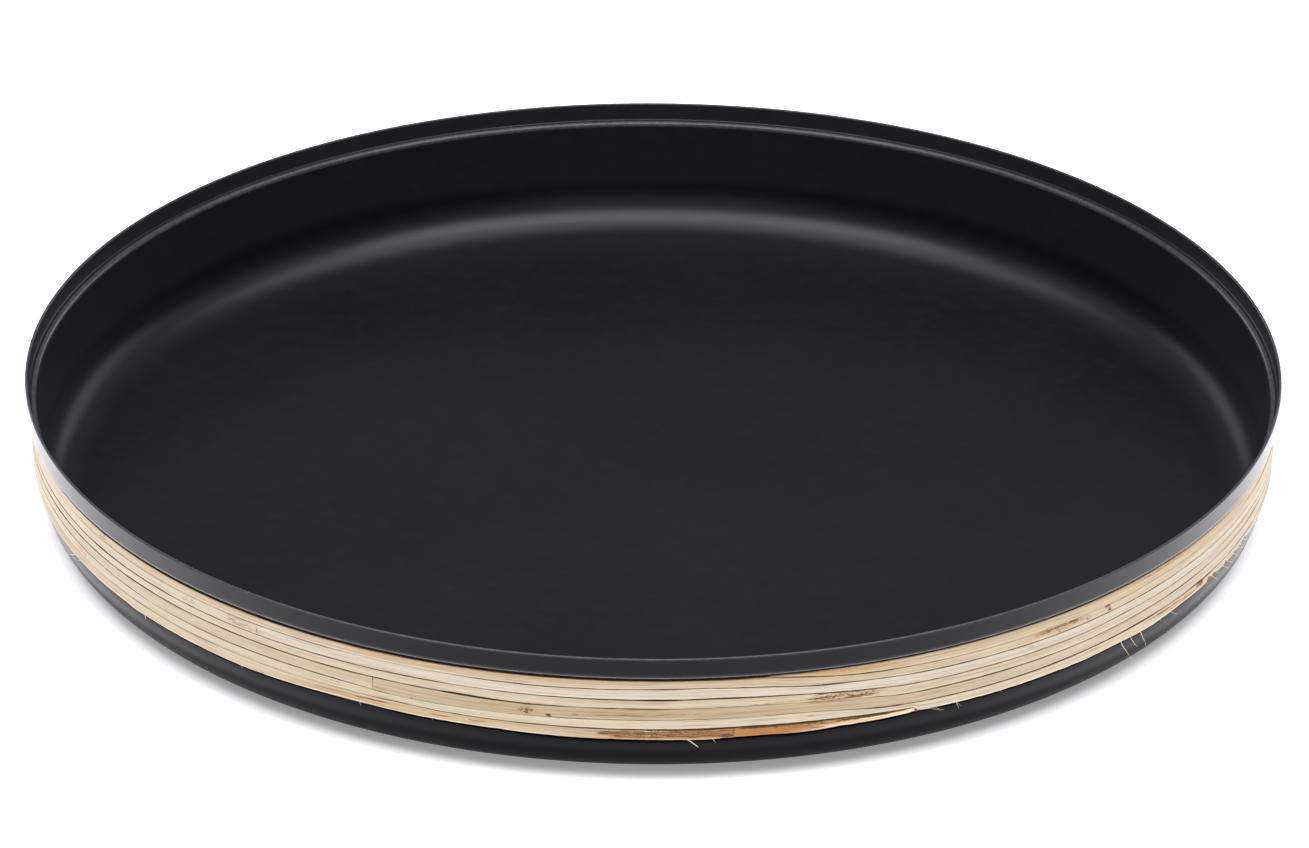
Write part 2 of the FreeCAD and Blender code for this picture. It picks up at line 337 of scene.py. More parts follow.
def pale_floor():
    m = Nodes("pale_floor")
    pos = m.node("ShaderNodeTexCoord").outputs["Object"]
    soft = m.noise(pos, 1.6, 2.0, 0.5)
    col = m.mix(m.step(soft, 0.3, 0.7), (0.905, 0.905, 0.905), (0.915, 0.914, 0.912))
    rough = m.step(soft, 0.3, 0.7, 0.86, 0.90)
    # A lit sweep: a faint glow of its own softens the tray's shadow.
    return m.shader(Base_Color=col, Roughness=rough, Specular_IOR_Level=0.1, Emission_Color=(1.0, 1.0, 1.0), Emission_Strength=0.25)


COAT, COAT_OUTSIDE = powder_coat("black_powder_coat", 0.21, 0.03, False), powder_coat("black_powder_coat_outside", 0.025, 0.03, True)
BAMBOO, GLUE, FLOOR = bamboo(), glue(), pale_floor()


# ------------------------------------------------------------------ pan
def arc(cx, cz, r, a0, a1, n):
    t = np.radians(np.linspace(a0, a1, n + 1))
    return [(cx + r * math.cos(a), cz + r * math.sin(a)) for a in t]


def pan_profile():
    """The pan's section from the centre of the underside round to the centre of the floor, with each place's wear and
    painted highlight.
    """
    inner_0 = WALL_0 - STEEL
    out_c = WALL_0 + SLOPE * (COVE + STEEL) - (COVE + STEEL) * LEAN_K
    in_c = inner_0 + SLOPE * (COVE + STEEL) - COVE * LEAN_K
    under_z = LEDGE_Z - BEND
    under_c = WALL_0 + SLOPE * under_z + BEND * LEAN_K
    big = BEND + STEEL
    over_z = LEDGE_Z + STEEL - big
    over_c = inner_0 + SLOPE * over_z + big * LEAN_K
    pts = []

    def add(items, wear=0.0):
        for p in items:
            if not pts or math.hypot(p[0] - pts[-1][0], p[1] - pts[-1][1]) > 1e-4:
                pts.append((p[0], p[1], wear))

    def run(p, q, n):
        """Inner points of a straight run, with one close to each end so that smooth shading keeps the run flat."""
        p, q = np.array(p, float), np.array(q, float)
        length = np.linalg.norm(q - p)
        ends = min(0.25, length * 0.2)
        t = [ends / length] + list(np.linspace(0, 1, n + 2)[1:-1]) + [1 - ends / length]
        add([tuple(p + (q - p) * k) for k in t])

    rings = [r for r in (30, 60, 90, 115, 140, 160, 175, 185)]
    add([(r, 0.0) for r in rings])
    outer = arc(out_c, COVE + STEEL, COVE + STEEL, -90, -LEAN, 22)
    add([(out_c - 0.6, 0.0)])
    add(outer)
    bend = arc(under_c, under_z, BEND, 180 - LEAN, 90, 5)
    near_foot = [(wall_r(z), z) for z in np.arange(14.8, 18.3, 0.25)]
    add(near_foot)
    run(near_foot[-1], bend[0], 4)
    add(bend)
    lip_low = arc(RIM_R - big, LEDGE_Z + big, big, -90, 0, 8)
    run(bend[-1], lip_low[0], 0)
    add(lip_low, 0.3)
    top_out = arc(RIM_R - EDGE, RIM_H - EDGE, EDGE, 0, 90, 5)
    run(lip_low[-1], top_out[0], 2)
    add(top_out, 1.0)
    add(arc(RIM_R - STEEL + EDGE, RIM_H - EDGE, EDGE, 90, 180, 5), 1.0)
    lip_in = arc(RIM_R - STEEL - BEND, LEDGE_Z + STEEL + BEND, BEND, 0, -90, 5)
    run((RIM_R - STEEL, RIM_H - EDGE), lip_in[0], 2)
    add(lip_in)
    over = arc(over_c, over_z, big, 90, 180 - LEAN, 8)
    run(lip_in[-1], over[0], 0)
    add(over, 1.0)
    inner = arc(in_c, STEEL + COVE, COVE, -LEAN, -90, 22)
    run(over[-1], inner[0], 5)
    add(inner)
    add([(in_c - 0.6, STEEL)])
    add([(r, STEEL) for r in reversed(rings)])
    return np.array(pts)


def build_pan():
    prof = pan_profile()
    n, seg = len(prof), 576
    a = np.radians(np.arange(seg) * 360.0 / seg)
    r = np.repeat(prof[:, 0][:, None], seg, 1)
    z = np.repeat(prof[:, 1][:, None], seg, 1)
    # A pressed sheet is never quite true: the floor's inside and the wall wander by a few hundredths.
    deg = np.degrees(a)[None, :]
    on_wall = smooth(6.0, 20.0, prof[:, 1])[:, None]
    r = r + on_wall * (0.035 * np.sin(np.radians(3 * deg + 40)) - 0.035 + 0.02 * np.sin(np.radians(7 * deg + 10)) - 0.02)
    x, y = r * np.cos(a)[None, :], r * np.sin(a)[None, :]
    verts = np.stack([x, y, z], -1).reshape(-1, 3) * 0.001
    verts = np.concatenate([verts, [[0, 0, 0], [0, 0, STEEL * 0.001]]])
    faces = []
    for i in range(n - 1):
        lo, hi = i * seg, (i + 1) * seg
        for j in range(seg):
            k = (j + 1) % seg
            faces.append((lo + j, lo + k, hi + k, hi + j))
    under, over = n * seg, n * seg + 1
    last = (n - 1) * seg
    for j in range(seg):
        k = (j + 1) % seg
        faces.append((under, k, j))
        faces.append((over, last + j, last + k))
    ob = new_mesh("pan_body", verts, faces)
    wear = np.concatenate([np.repeat(prof[:, 2], seg), [0, 0]])
    attr_float(ob, "wear", wear)
    # Sheen on the outside: little of it where the pan turns under.
    half = np.arange(n) < next(i for i in range(n - 1) if prof[i, 1] > RIM_H - EDGE + 0.05)
    sheen = np.where(prof[:, 1] > 20.0, 0.85, 0.64 * (0.06 + 0.94 * smooth(9.0, 14.0, prof[:, 1])))
    attr_float(ob, "sheen", np.concatenate([np.repeat(np.where(half, sheen, 0.0), seg), [0, 0]]))
    # Painted light: a lighter base colour on the inside of the wall and the lip stands in for light reflected onto
    # them.
    dust = np.where(prof[:, 1] > LEDGE_Z + 1.3, 0.80, 0.29 * smooth(13.0, 19.0, prof[:, 1]))
    attr_float(ob, "dust", np.concatenate([np.repeat(np.where(half, 0.0, dust), seg), [0, 0]]))
    ob.data.materials.append(COAT)
    ob.data.materials.append(COAT_OUTSIDE)
    # The sheet's outside and underside are sprayed from below, which leaves a coat with less gloss and more sheen.
    outside = next(i for i in range(n - 1) if prof[i, 1] > RIM_H - EDGE + 0.05)
    slots = np.zeros(len(ob.data.polygons), np.int32)
    slots[:outside * seg] = 1
    slots[(n - 1) * seg::2] = 1
    ob.data.polygons.foreach_set("material_index", slots)
    return ob


pan = build_pan()
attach(pan, "root")
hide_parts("pan")

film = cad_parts["adhesive_film"]
film.data.materials.clear()
film.data.materials.append(GLUE)

# ------------------------------------------------------------------ how the bamboo is wound
# The winding runs anticlockwise seen from above, from 280 degrees. s counts degrees along it: turn k runs from
# 360 (k - 1) to 360 k. Each row gives the lower edge of a turn, as (angle, mm below the rim), from 280 up to 640.
JOG = 280.0
LOWER = {
    1: [(280, 8.35), (283.4, 9.65), (286.1, 10.6), (288.8, 11.2), (292.8, 11.55), (296, 11.75), (305, 11.8), (325, 11.9), (345, 12.0),
        (567, 11.5), (580, 11.5), (589, 11.4), (600, 11.35), (613, 11.55), (618.2, 11.8), (630, 11.4), (634, 11.2), (637.5, 11.6)],
    2: [(280, 11.95), (283.9, 13.1), (287.2, 13.5), (289.8, 13.9), (293, 14.4), (296.8, 14.6), (311, 15.0), (314, 14.85), (325, 14.8),
        (332.4, 15.1), (337.8, 15.3), (345, 15.3), (567, 15.05), (580, 15.15), (589, 15.1), (602.4, 14.9), (613, 15.0), (621, 15.25),
        (630, 15.35), (635.4, 15.1)],
    3: [(280, 15.45), (281.5, 15.6), (286.1, 16.6), (290.4, 17.55), (293, 18.1), (296.8, 18.2), (302, 18.35), (311, 18.6), (316.4, 18.2),
        (329.7, 18.1), (335, 18.1), (339, 18.4), (345, 18.5), (567, 18.05), (588, 17.95), (605, 18.0), (611.8, 18.25), (620, 18.7),
        (630, 18.5)],
    4: [(280, 18.45), (283, 18.9), (288.7, 20.2), (292.8, 21.4), (297, 21.6), (311, 21.75), (316.4, 21.35), (327, 21.2), (333.8, 21.2),
        (345, 21.5), (567, 21.65), (589, 22.0), (598, 21.9), (603.5, 22.3), (606, 22.8), (608.8, 23.05), (620, 22.9), (630, 22.55)],
    5: [(280, 22.4), (284.5, 22.8), (287.7, 23.8), (290.4, 24.7), (293, 25.2), (302, 25.6), (311, 25.4), (319, 25.1), (327, 25.05),
        (335, 25.1), (345, 25.3), (567, 25.0), (589, 25.25), (607.5, 25.2), (611.8, 25.7), (620, 25.9), (630, 26.0)],
    6: [(280, 25.85), (285, 26.15), (288.8, 26.5), (291.6, 26.75), (293.36, 26.95), (293.75, 28.25), (295.5, 28.5), (302, 28.7), (311, 28.7), (315, 28.4),
        (319.8, 28.75), (323, 28.3), (326, 27.8), (328.6, 27.8), (331, 27.5), (334, 27.6), (337, 27.8), (340, 27.6), (345, 28.0),
        (362, 28.4), (567, 28.35), (575, 28.3), (577, 28.75), (580, 28.55), (589, 28.8), (592, 28.9), (600.2, 28.3), (603, 28.15),
        (608, 28.6), (616, 28.96), (622.5, 29.5), (630, 29.7), (634.5, 29.85), (637, 29.4)],
    7: [(280, 29.3), (281.5, 29.5), (283.3, 29.55), (285.9, 29.2), (288.8, 29.0), (291.4, 28.8), (293.4, 28.6), (294.0, 28.5)],
}
xs, ys = [], []
for turn, row in LOWER.items():
    for k, (phi, depth) in enumerate(row):
        if k and row[k - 1][0] < 362.5 and phi == 567:
            lo_phi, lo_d = row[k - 1]
            for q, extra in enumerate(np.linspace(lo_phi, phi, 13)[1:-1]):
                t = (extra - lo_phi) / (phi - lo_phi)
                xs.append(360 * (turn - 1) + extra - JOG)
                ys.append(lo_d + (depth - lo_d) * t + 0.17 * float(hashed([q + 31 * turn], 5)[0]))
        xs.append(360 * (turn - 1) + phi - JOG)
        ys.append(depth)
LOW_S, LOW_D = np.array(xs), np.array(ys)
WINDING_END = 2173.4


def top_edge(s):
    """Depth of the first turn's upper edge: it starts close under the lip and ends a little lower."""
    return LIP + 0.62 + 0.45 * smooth(150.0, 300.0, s)


def lower_edge(s):
    s = np.asarray(s, float)
    d = pchip(LOW_S, LOW_D, np.clip(s, 0.0, LOW_S[-1]))
    return d + 0.05 * wave(s / 7.0, 11) + 0.025 * wave(s / 1.7, 12)


# How wide the gap below each turn is, in mm: (angle, gap) along each turn.
GAPS = {
    1: [(280, 0.34), (289, 0.20), (294, 0.10), (300, 0.04), (345, 0.05), (400, 0.12), (470, 0.06), (567, 0.10), (590, 0.18), (600, 0.14),
        (603, 0.04), (610, 0.06), (616, 0.16), (622, 0.22), (640, 0.20)],
    2: [(280, 0.20), (292, 0.20), (296, 0.22), (345, 0.22), (380, 0.15), (440, 0.26), (520, 0.10), (567, 0.16), (573, 0.34), (581, 0.32),
        (584, 0.20), (600, 0.20), (620, 0.24), (624, 0.42), (631, 0.52), (636, 0.46), (640, 0.36)],
    3: [(280, 0.40), (289, 0.26), (300, 0.18), (345, 0.26), (400, 0.30), (450, 0.14), (520, 0.24), (567, 0.30), (605, 0.26), (610, 0.40),
        (613, 0.62), (616, 0.60), (619, 0.26), (630, 0.20), (636, 0.10)],
    4: [(280, 0.06), (288, 0.08), (293, 0.20), (297, 0.34), (301, 0.30), (304, 0.18), (345, 0.18), (420, 0.20), (500, 0.12), (567, 0.14),
        (600, 0.18), (605, 0.12), (608, 0.04), (621, 0.05), (630, 0.12), (636, 0.07)],
    5: [(280, 0.07), (288, 0.10), (290, 0.24), (302, 0.26), (345, 0.26), (390, 0.12), (460, 0.28), (540, 0.12), (567, 0.08), (576, 0.16),
        (589, 0.12), (600, 0.05), (607, 0.14), (622, 0.20), (625, 0.34), (640, 0.32)],
    6: [(280, 0.30), (292, 0.26), (293.6, 0.10), (300, 0.0), (640, 0.0)],
    7: [(280, 0.0), (294, 0.0)],
}
gx, gy = [], []
for turn, row in GAPS.items():
    for phi, gap in row:
        gx.append(360 * (turn - 1) + phi - JOG + (1e-3 if phi == 280 else 0.0))
        gy.append(gap)
GAP_S, GAP_W = np.array(gx), np.array(gy)


def gap_below(s):
    s = np.asarray(s, float)
    g = np.interp(s, GAP_S, GAP_W)
    g = g * 0.72 * (1.0 + 0.40 * wave(s / 3.1, 21) + 0.30 * wave(s / 0.9, 22)) + 0.01
    return np.where(s >= 1816.0, 0.0, np.maximum(g, 0.015))


def mark_under_band_shade(ob):
    """Paints a shade line on the outside of the pan right under the band's lowest edge: darker, duller and without
    sheen there.
    """
    co = np.empty(len(ob.data.vertices) * 3, np.float32)
    ob.data.vertices.foreach_get("co", co)
    co = co.reshape(-1, 3).astype(float) * 1000.0
    s = (np.degrees(np.arctan2(co[:, 1], co[:, 0])) - JOG) % 360.0 + 1800.0
    s = np.where(s < 1800.0 + 13.4, s + 360.0, s)
    below = lower_edge(s) - (RIM_H - co[:, 2])
    outside = np.hypot(co[:, 0], co[:, 1]) > wall_r(co[:, 2]) - 0.4
    foot = smooth(-1.75, -1.30, below) * (co[:, 2] < 22.0) * (co[:, 2] > 12.5) * outside
    attr_float(ob, "foot", foot)
    a = ob.data.attributes["sheen"]
    sheen = np.empty(len(a.data), np.float32)
    a.data.foreach_get("value", sheen)
    a.data.foreach_set("value", (sheen * (1 - foot)).astype(np.float32))


mark_under_band_shade(pan)

# Where each strip ends along the winding, the colour of its cream, how far it stands out (mm), and its length of nodes.
ENDS = [0.0, 212.0, 455.0, 673.5, 905.0, 1170.0, 1405.1, 1595.0, 1849.5, 2157.1, WINDING_END]
CREAM = [srgb(221, 200, 168), srgb(224, 205, 174), srgb(224, 211, 184), srgb(226, 217, 195), srgb(224, 210, 182),
         srgb(218, 203, 175), srgb(208, 189, 158), srgb(223, 210, 182), srgb(222, 206, 178), srgb(194, 142, 80)]
PROUD = [0.02, 0.10, -0.02, 0.10, 0.00, 0.07, -0.04, 0.09, 0.03, -0.05]
NODES = [  # (place along the winding, height of the ring in mm, how brown)
    (118.0, 0.16, 0.7), (292.0, 0.12, 0.5), (388.3, 0.10, 0.9), (394.3, 0.07, 0.35), (520.0, 0.16, 0.7), (671.6, 0.12, 0.35),
    (828.0, 0.15, 0.6), (985.0, 0.15, 0.8), (1087.0, 0.12, 1.0), (1245.0, 0.15, 0.6), (1381.6, 0.05, 0.15), (1419.3, 0.20, 0.55),
    (1570.0, 0.14, 0.7), (1655.0, 0.15, 0.6), (1848.6, 0.16, 0.9), (1958.0, 0.16, 0.8), (2062.0, 0.14, 0.5),
]
PX = math.pi / 180.0 * 208.0  # mm of winding for one degree
# Coloured places: (kind, place along the winding, mm below the rim, half length in mm, half height in mm, strength).
MARKS = [
    ("gold", 6.0, 9.2, 24.0, 1.3, 1.0), ("gold", 45.0, 8.6, 60.0, 1.0, 0.55), ("gold", 160.0, 8.8, 90.0, 1.0, 0.5),
    ("gold", 326.0, 9.2, 14.0, 1.1, 0.75), ("gold", 331.0, 9.9, 10.0, 0.5, 0.6), ("gold", 345.0, 8.6, 50.0, 0.9, 0.6),
    ("gold", 338.0, 8.8, 20.0, 0.7, 0.6), ("gold", 358.0, 8.8, 20.0, 0.9, 0.4), ("gold", 300.0, 8.7, 60.0, 0.7, 0.35),
    ("stain", 41.0, 9.3, 22.0, 0.30, 0.55), ("stain", 47.0, 10.2, 14.0, 0.25, 0.4), ("gold", 52.0, 11.2, 26.0, 0.9, 0.6),
    ("stain", 338.2, 11.75, 1.0, 0.35, 0.7), ("stain", 388.0, 12.25, 13.0, 0.40, 0.70), ("scribble", 388.6, 12.5, 13.0, 0.95, 1.0), ("stain", 386.0, 12.9, 5.0, 0.25, 0.5),
    ("gold", 388.0, 12.4, 18.0, 1.0, 0.55), ("stain", 393.9, 12.3, 1.4, 0.7, 1.0), ("stain", 394.2, 13.6, 0.9, 0.9, 0.75), ("scribble", 391.6, 13.0, 1.6, 1.4, 0.8),
    ("scribble", 671.0, 13.2, 6.0, 1.6, 0.75), ("stain", 673.2, 13.3, 0.35, 1.6, 0.6), ("scribble", 665.0, 13.2, 4.0, 1.4, 0.5),
    ("stain", 1085.0, 17.9, 8.0, 0.45, 0.62), ("stain", 1088.2, 19.0, 8.0, 0.65, 0.68), ("stain", 1084.6, 16.7, 3.0, 0.25, 0.6), ("scribble", 1086.8, 18.2, 14.0, 1.7, 1.0), ("stain", 1080.0, 18.1, 14.0, 0.3, 0.42),
    ("gold", 1084.0, 18.5, 30.0, 1.4, 0.7), ("gold", 1430.0, 20.6, 90.0, 1.6, 0.28), ("gold", 1412.0, 20.4, 20.0, 1.5, 0.2),
    ("stain", 1428.0, 21.1, 20.0, 0.28, 0.52), ("stain", 1433.0, 20.6, 14.0, 0.2, 0.42), ("stain", 1421.1, 22.2, 1.0, 0.5, 2.4), ("scribble", 1421.1, 22.2, 1.0, 0.5, 2.0),
    ("stain", 1408.8, 22.8, 0.5, 0.5, 0.8), ("scribble", 1423.5, 21.3, 2.0, 0.4, 0.6), ("scribble", 1419.2, 21.2, 3.0, 1.5, 1.0), ("stain", 1419.3, 21.0, 0.5, 1.2, 0.55), ("stain", 1416.4, 19.6, 5.0, 0.16, 0.5),
    ("pink", 1726.6, 23.2, 3.0, 0.95, 1.25), ("pink", 1725.6, 23.6, 5.0, 0.6, 0.95), ("pink", 1727.6, 23.5, 1.8, 0.6, 1.5), ("gold", 1442.0, 21.6, 60.0, 1.6, 0.2),
    ("stain", 1848.3, 25.8, 3.0, 0.8, 1.0), ("stain", 1846.5, 26.6, 7.0, 0.5, 0.7), ("stain", 1842.0, 26.0, 14.0, 0.28, 0.75), ("gold", 1844.5, 26.6, 16.0, 1.2, 1.0),
    ("stain", 1803.8, 24.0, 2.0, 0.5, 0.35), ("gold", 1788.0, 24.0, 4.0, 0.9, 0.4),
    ("stain", 2125.0, 26.4, 8.0, 0.35, 0.75), ("stain", 2131.5, 27.1, 6.5, 0.30, 0.7), ("stain", 2134.8, 27.1, 4.0, 0.28, 0.7),
    ("gold", 2128.0, 27.0, 60.0, 1.6, 0.6), ("stain", 2147.8, 27.5, 13.0, 1.35, 0.62), ("stain", 2153.2, 27.6, 15.0, 1.75, 0.80),
    ("stain", 2156.4, 27.7, 7.5, 2.0, 0.82, 9), ("stain", 2154.0, 26.10, 18.0, 0.36, 2.2), ("stain", 2149.5, 28.7, 16.0, 0.35, 0.75), ("scribble", 2151.0, 27.5, 22.0, 1.6, 0.9),
    ("gold", 2150.0, 29.0, 30.0, 0.9, 1.0), ("gold", 2105.0, 27.6, 30.0, 1.2, 0.2),
    ("gold", 2160.5, 28.0, 15.0, 2.4, 0.8), ("stain", 2162.0, 26.30, 20.0, 0.46, 2.2), ("stain", 2169.6, 27.0, 15.0, 0.52, 2.1),
    ("stain", 2163.0, 27.6, 7.0, 0.28, 0.9), ("stain", 2164.4, 28.5, 4.5, 0.28, 0.85), ("gold", 2168.0, 28.3, 12.0, 0.8, 0.5),
    ("scribble", 2166.5, 27.0, 26.0, 0.9, 1.0), ("scribble", 2153.5, 26.15, 30.0, 0.32, 1.8), ("scribble", 2161.0, 26.25, 20.0, 0.38, 2.2),
    ("scribble", 2169.5, 26.85, 16.0, 0.50, 2.4),
    # places on the hidden side
    ("gold", 120.0, 9.6, 18.0, 1.2, 0.5), ("scribble", 118.0, 9.8, 3.0, 1.4, 0.6), ("scribble", 292.0, 10.0, 3.0, 1.4, 0.5),
    ("scribble", 520.0, 13.5, 3.5, 1.5, 0.7), ("gold", 521.0, 13.5, 20.0, 1.6, 0.5), ("scribble", 828.0, 16.9, 3.0, 1.3, 0.6),
    ("scribble", 985.0, 17.0, 3.5, 1.3, 0.8), ("stain", 988.0, 16.6, 14.0, 0.4, 0.6), ("scribble", 1245.0, 20.2, 3.0, 1.5, 0.6),
    ("stain", 1570.0, 23.4, 10.0, 0.5, 0.55), ("scribble", 1570.0, 23.4, 3.0, 1.4, 0.7), ("scribble", 1655.0, 24.0, 3.0, 1.4, 0.6),
    ("gold", 1660.0, 24.0, 50.0, 1.6, 0.35), ("stain", 1958.0, 26.8, 9.0, 0.6, 0.8), ("gold", 1962.0, 27.0, 40.0, 1.5, 0.7),
    ("scribble", 2062.0, 27.2, 3.0, 1.2, 0.6), ("stain", 1915.0, 27.4, 26.0, 0.3, 0.55), ("stain", 745.0, 16.0, 3.0, 0.3, 0.5),
]


def places_along(s0, s1):
    """Places along a strip where its section is set out: closer near joints, nodes and marks."""
    fine = [(n[0], 1.6, 0.055) for n in NODES] + [(e, 0.9, 0.06) for e in (s0, s1)]
    fine += [(m[1], m[3] / PX + 0.5, 0.13) for m in MARKS if m[3] < 35 and m[0] != "gold"]
    fine += [(e, 8.0, 0.13) for e in (4.0, 364.0, 724.0, 1084.0, 1444.0, 1804.0, 2164.0)]
    fine += [(1870.0, 18.0, 0.11)]
    out, s = [s0], s0
    while s < s1 - 1e-6:
        step = 0.32
        for c, half, size in fine:
            if abs(s - c) < half:
                step = min(step, size)
            elif s < c - half < s + step:
                step = min(step, max(size, c - half - s))
        s = min(s1, s + step)
        out.append(s)
    if len(out) > 2 and out[-1] - out[-2] < 0.02:
        del out[-2]
    return np.array(out)


FACE = 11  # points across a strip's face, between its rounded edges


def frayed(s):
    """How far fibres are missing from the lowest edge, in mm: most of it is clean, and some of it is torn."""
    phi = (JOG + np.asarray(s, float)) % 360.0
    torn = smooth(328.0, 331.0, phi) * (1 - smooth(344.0, 352.0, phi)) + 0.6 * smooth(60.0, 64.0, phi) * (1 - smooth(80.0, 90.0, phi))
    torn = torn + 0.45 * smooth(130.0, 134.0, phi) * (1 - smooth(140.0, 150.0, phi)) + 0.10
    bite = np.maximum(0.0, wave(s / 0.75, 41)) ** 1.4 * 1.15 + np.maximum(0.0, wave(s / 0.28, 42)) ** 2 * 0.55
    return torn * bite


def build_strip(index):
    s0, s1 = ENDS[index] + 0.02, ENDS[index + 1] - 0.02
    s = places_along(s0, s1)
    n = len(s)
    top = np.where(s < 360.0, top_edge(s), lower_edge(np.maximum(s - 360.0, 0)) + gap_below(np.maximum(s - 360.0, 0)) * 0.5)
    low = lower_edge(s) - gap_below(s) * 0.5
    top = top + 0.018 * wave(s / 0.35, 31 + index)
    low = low + 0.018 * wave(s / 0.31, 51 + index)
    low = np.where(s >= 1816.0, low - frayed(s), low)
    low = np.where(s >= 2160.0, low - frayed(s) * 0.5, low)
    if index == len(ENDS) - 2:  # the last strip tapers to a blunt torn end
        low = low - 0.35 * smooth(WINDING_END - 0.7, WINDING_END, s)
        top = top + 0.12 * smooth(WINDING_END - 0.5, WINDING_END, s)
    low = np.maximum(low, top + 0.25)
    width = low - top
    thick = 1.00 + PROUD[index] + 0.05 * wave(s / 23.0, 61 + index) + 0.02 * wave(s / 5.0, 71 + index)
    thick = np.minimum(thick, 1.16)
    # Section across the strip: v from 0 at the top edge to 1 at the bottom, and drop below the outer face. An edge on
    # an open joint is rounded and browned; an edge on a tight joint is nearly square, so the joint hardly shows.
    open_up = np.where(s < 360.0, 1.0, np.clip(gap_below(np.maximum(s - 360.0, 0)) / 0.22, 0.0, 1.0))
    open_low = np.where(s >= 1816.0, 0.25, np.clip(gap_below(s) / 0.22, 0.0, 1.0))
    side_up, side_low = 0.02 + 0.30 * open_up, 0.02 + 0.30 * open_low
    corner_up = np.minimum(0.06 + 0.12 * open_up, width * 0.24)
    corner_low = np.minimum(0.06 + 0.12 * open_low, width * 0.24)
    brown_up = np.where(s < 360.0, 0.50 + 0.25 * (1 - smooth(100.0, 200.0, s)), 0.01 + 0.22 * open_up)
    brown_low = np.where(s >= 1816.0, 0.02, 0.01 + 0.22 * open_low)
    fr = np.linspace(0.0, 1.0, FACE)
    cols_v, cols_drop, cols_edge = [], [], []
    glued_up = 1.0 - 1.35 * smooth(0.08, 0.40, open_up)
    glued_low = np.where(s >= 1816.0, 1.0, 1.0 - 1.35 * smooth(0.08, 0.40, open_low))
    for v, drop, mark_edge in [(np.zeros(n), thick, np.full(n, -1.0)), (np.zeros(n), side_up, glued_up)]:
        cols_v.append(v); cols_drop.append(drop); cols_edge.append(mark_edge)
    cols_v.append(0.30 * corner_up / width); cols_drop.append(0.3 * side_up); cols_edge.append(0.30 * corner_up / brown_up)
    for f in fr:
        v = (corner_up + (width - corner_up - corner_low) * f) / width
        cols_v.append(v)
        cols_drop.append(0.02 * np.abs(2 * f - 1.0) ** 4 + 0 * v)
        cols_edge.append(np.minimum(v * width / brown_up, (1 - v) * width / brown_low))
    cols_v.append(1 - 0.30 * corner_low / width); cols_drop.append(0.3 * side_low); cols_edge.append(0.30 * corner_low / brown_low)
    for v, drop, mark_edge in [(np.ones(n), side_low, glued_low), (np.ones(n), thick, np.full(n, -1.0))]:
        cols_v.append(v); cols_drop.append(drop); cols_edge.append(mark_edge)
    V, DROP, EDGE_D = np.stack(cols_v, 1), np.stack(cols_drop, 1), np.stack(cols_edge, 1)
    m = V.shape[1]
    face = (np.arange(m) >= 2) & (np.arange(m) <= m - 3)
    S = np.repeat(s[:, None], m, 1)
    depth = top[:, None] + V * width[:, None]
    # The cut at each end is a little out of square.
    skew = 0.16 * hashed([index * 2], 91)[0]
    skew_end = 0.16 * hashed([index * 2 + 1], 91)[0]
    near0, near1 = 1 - smooth(0, 0.8, S - s0), 1 - smooth(0, 0.8, s1 - S)
    S = S + (V - 0.5) * (skew * near0 * 0.5 + skew_end * near1 * 0.5) * 0.5
    # Crown, shallow ridges where the fibres part, and the raised rings at the nodes.
    relief = 0.055 * (1 - (2 * V - 1) ** 2)
    for j, (freq, amp, slow) in enumerate([(1.5, 0.020, 60.0), (2.7, 0.016, 33.0), (4.3, 0.012, 17.0)]):
        phase = 2 * math.pi * (hashed([index * 7 + j], 101)[0] + 0.8 * wave(s / slow, 111 + j)[:, None])
        relief = relief + amp * np.sin(2 * math.pi * freq * V + phase)
    across = (V - 0.5) * width[:, None]
    swirl = np.zeros_like(V)
    for at, height, _ in NODES:
        if at < s0 - 4 or at > s1 + 4:
            continue
        bow = 0.9 * (V - 0.5) ** 2 * 2.0 + 0.25 * np.sin(5 * V + at)
        d = (S - at) * PX - bow
        relief = relief + height * np.exp(-((d / 0.75) ** 2)) - 0.45 * height * np.exp(-(((d - 1.5) / 0.5) ** 2))
        relief = relief + 0.35 * height * np.exp(-((d / 5.0) ** 2))
        swirl = swirl + 0.30 * height / 0.15 * np.exp(-((d / 3.2) ** 2)) * np.sin(d * 1.1 + V * 5.0)
    relief = relief * np.minimum(1.0, width[:, None] / 2.5)
    out = np.where(face[None, :], relief, 0.0) - DROP
    zc = RIM_H - depth
    radius = WALL_0 + SLOPE * zc + FILM + thick[:, None] + out
    radius = np.maximum(radius, WALL_0 + SLOPE * zc + FILM)
    radius[:, 0] = (WALL_0 + SLOPE * zc + FILM)[:, 0]
    radius[:, -1] = (WALL_0 + SLOPE * zc + FILM)[:, -1]
    a = np.radians(JOG + S)
    verts = np.stack([radius * np.cos(a), radius * np.sin(a), zc], -1).reshape(-1, 3) * 0.001
    i = np.arange(n - 1)[:, None] * m
    j = np.arange(m)[None, :]
    k = (j + 1) % m
    quads = np.stack([i + j, i + k, i + m + k, i + m + j], -1).reshape(-1, 4)
    faces = [tuple(int(x) for x in q) for q in quads]
    faces.append(tuple(range(m - 1, -1, -1)))
    faces.append(tuple((n - 1) * m + q for q in range(m)))
    ob = new_mesh("bamboo_%02d" % (index + 1), verts, faces)
    strip = np.stack([S * PX * 0.001, (across + swirl) * 0.001, np.full_like(S, 1.0 + index * 1.37)], -1).reshape(-1, 3)
    attr_vector(ob, "strip", strip)
